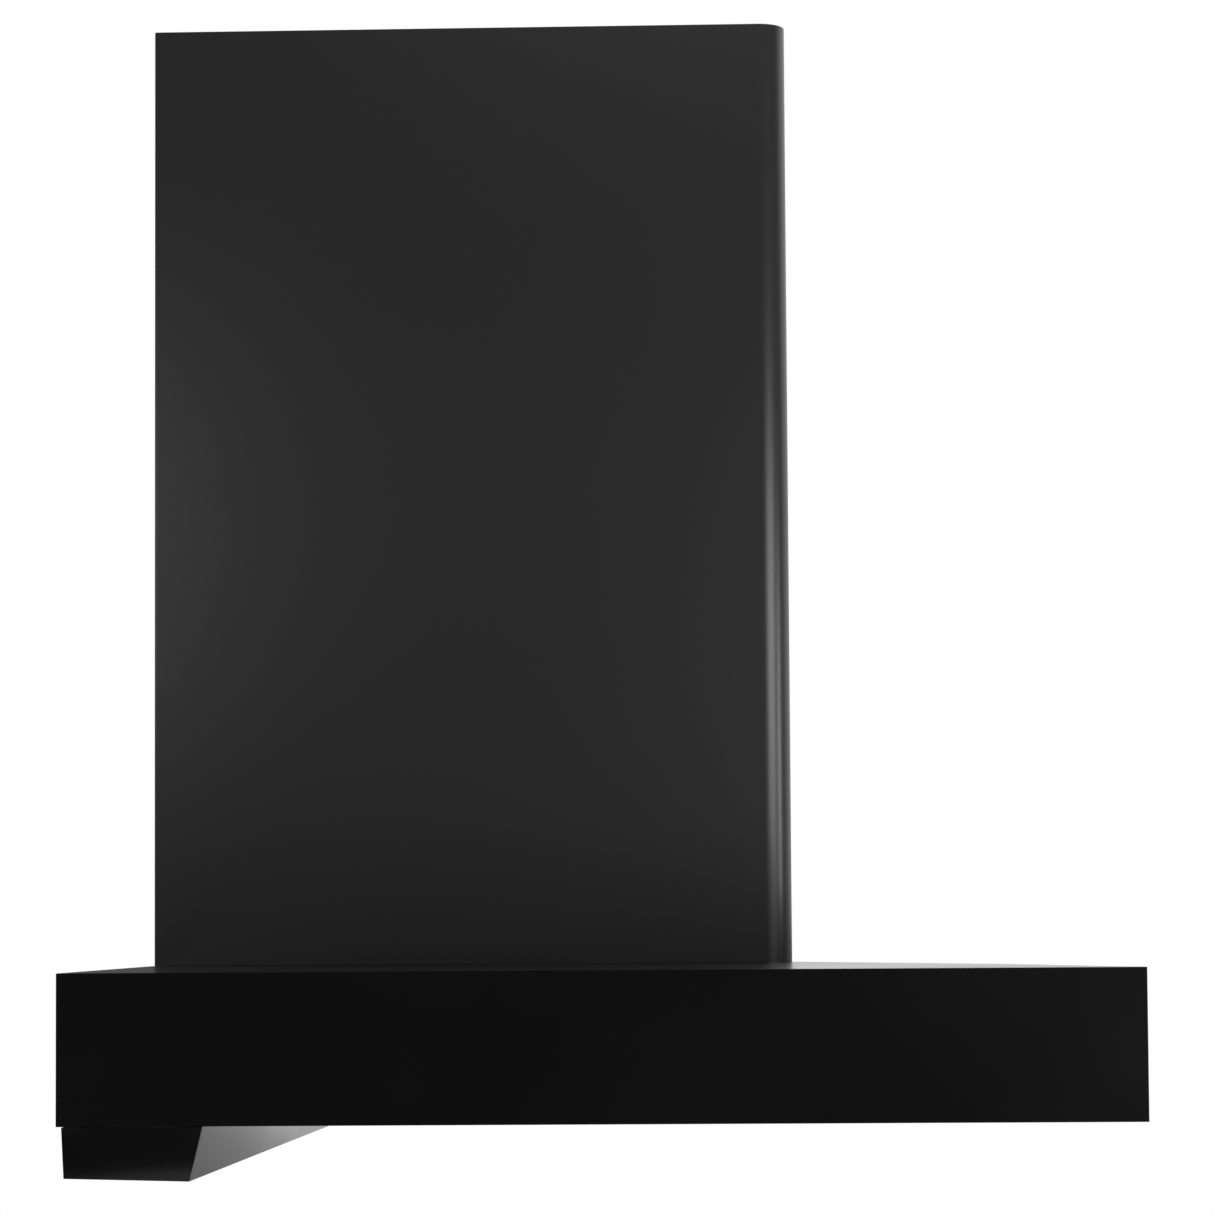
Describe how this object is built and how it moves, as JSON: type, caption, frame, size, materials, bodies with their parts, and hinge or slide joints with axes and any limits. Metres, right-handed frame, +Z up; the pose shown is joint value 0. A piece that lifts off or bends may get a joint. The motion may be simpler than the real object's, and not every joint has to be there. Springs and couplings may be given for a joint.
{
  "type": "chimney range hood",
  "caption": "Wall chimney range hood: flat canopy, telescoping chimney, blower and damper, drop-down baffle filters, sliding grease tray and push buttons.",
  "frame": {"origin": "on the wall plane, at the centre of the four wall screw holes in the blower box's back", "axes": "+Z up, +Y towards the wall, -Y towards the cook, +X to the cook's right"},
  "size_m": [0.9, 0.5026, 0.6058],
  "materials": {
    "canopy_black": "gloss black enamel on folded steel",
    "chimney_charcoal": "satin charcoal powder coat, fine texture",
    "panel_black": "satin black",
    "bezel_black": "gloss",
    "galvanised": "galvanised sheet, spangled",
    "stainless": "brushed",
    "grey_plastic": "moulded, fine texture",
    "black_plastic": "moulded, fine texture",
    "button_metal": "satin chrome",
    "motor_steel": "satin",
    "capacitor_shell": "satin white",
    "board_green": "solder mask",
    "lamp_bezel": "satin",
    "lamp_glass": "frosted",
    "steel_pins": "zinc plated"
  },
  "bodies": {
    "hood": {"blower_box": "galvanised", "blower_box_lid": "galvanised", "box_screws": "steel_pins", "cable_gland": "black_plastic", "canopy_shell": "canopy_black", "capacitor": "capacitor_shell", "chimney_foot_left": "galvanised", "chimney_foot_right": "galvanised", "control_bezel": "bezel_black", "control_board": "board_green", "control_housing": "black_plastic", "damper_pin": "steel_pins", "duct_spigot": "grey_plastic", "filter_hinge_centre": "galvanised", "filter_hinge_left": "galvanised", "filter_hinge_right": "galvanised", "foot_screws": "steel_pins", "inlet_ring_left": "galvanised", "inlet_ring_right": "galvanised", "junction_box": "grey_plastic", "junction_box_lid": "grey_plastic", "lamp_bezel_left": "lamp_bezel", "lamp_bezel_right": "lamp_bezel", "lamp_driver": "galvanised", "lamp_lens_left": "lamp_glass", "lamp_lens_right": "lamp_glass", "lower_chimney": "chimney_charcoal", "motor": "motor_steel", "motor_bracket": "galvanised", "motor_screws": "steel_pins", "panel_rivets": "steel_pins", "scroll_half_left": "grey_plastic", "scroll_half_right": "grey_plastic", "scroll_screws": "steel_pins", "spigot_screws": "steel_pins", "tray_rail_front": "galvanised", "tray_rail_rear": "galvanised", "underside_panel": "panel_black"},
    "upper_chimney": {"upper_chimney": "chimney_charcoal", "chimney_wall_bracket": "galvanised", "bracket_screws": "steel_pins"},
    "impeller": {"impeller": "grey_plastic", "motor_shaft": "steel_pins", "hub_nut": "steel_pins"},
    "damper_rear": {"damper_flap_rear": "black_plastic"},
    "damper_front": {"damper_flap_front": "black_plastic"},
    "filter_left": {"filter_frame_left": "stainless", "filter_baffles_left": "stainless", "latch_case_left": "black_plastic"},
    "filter_right": {"filter_frame_right": "stainless", "filter_baffles_right": "stainless", "latch_case_right": "black_plastic"},
    "latch_left": {"latch_slider_left": "black_plastic"},
    "latch_right": {"latch_slider_right": "black_plastic"},
    "grease_tray": {"grease_tray": "canopy_black"},
    "button_light": {"button_light": "button_metal"},
    "button_off": {"button_off": "button_metal"},
    "button_low": {"button_low": "button_metal"},
    "button_medium": {"button_medium": "button_metal"},
    "button_high": {"button_high": "button_metal"}
  },
  "joints": [
    {"name": "chimney_extend", "type": "slide", "parent": "hood", "child": "upper_chimney", "axis": [0, 0, 1], "range_m": [0, 0.35]},
    {"name": "impeller_spin", "type": "hinge", "parent": "hood", "child": "impeller", "pos_m": [0, -0.188, 0.022], "axis": [1, 0, 0], "continuous": true},
    {"name": "damper_rear_open", "type": "hinge", "parent": "hood", "child": "damper_rear", "pos_m": [0, -0.115, 0.1682], "axis": [1, 0, 0], "range_deg": [0, 75]},
    {"name": "damper_front_open", "type": "hinge", "parent": "hood", "child": "damper_front", "pos_m": [0, -0.115, 0.1682], "axis": [-1, 0, 0], "range_deg": [0, 75]},
    {"name": "tray_slide", "type": "slide", "parent": "hood", "child": "grease_tray", "axis": [-1, 0, 0], "range_m": [0, 0.3]},
    {"name": "filter_left_drop", "type": "hinge", "parent": "hood", "child": "filter_left", "pos_m": [0, -0.078, -0.218], "axis": [1, 0, 0], "range_deg": [0, 75]},
    {"name": "latch_left_pull", "type": "slide", "parent": "filter_left", "child": "latch_left", "axis": [0, 1, 0], "range_m": [0, 0.006], "stiffness_N_per_m": 300, "springref_m": -0.004},
    {"name": "filter_right_drop", "type": "hinge", "parent": "hood", "child": "filter_right", "pos_m": [0, -0.078, -0.218], "axis": [1, 0, 0], "range_deg": [0, 75]},
    {"name": "latch_right_pull", "type": "slide", "parent": "filter_right", "child": "latch_right", "axis": [0, 1, 0], "range_m": [0, 0.006], "stiffness_N_per_m": 300, "springref_m": -0.004},
    {"name": "button_light_press", "type": "slide", "parent": "hood", "child": "button_light", "axis": [0, 1, 0], "range_m": [0, 0.002], "stiffness_N_per_m": 400, "springref_m": -0.002},
    {"name": "button_off_press", "type": "slide", "parent": "hood", "child": "button_off", "axis": [0, 1, 0], "range_m": [0, 0.002], "stiffness_N_per_m": 400, "springref_m": -0.002},
    {"name": "button_low_press", "type": "slide", "parent": "hood", "child": "button_low", "axis": [0, 1, 0], "range_m": [0, 0.002], "stiffness_N_per_m": 400, "springref_m": -0.002},
    {"name": "button_medium_press", "type": "slide", "parent": "hood", "child": "button_medium", "axis": [0, 1, 0], "range_m": [0, 0.002], "stiffness_N_per_m": 400, "springref_m": -0.002},
    {"name": "button_high_press", "type": "slide", "parent": "hood", "child": "button_high", "axis": [0, 1, 0], "range_m": [0, 0.002], "stiffness_N_per_m": 400, "springref_m": -0.002}
  ]
}
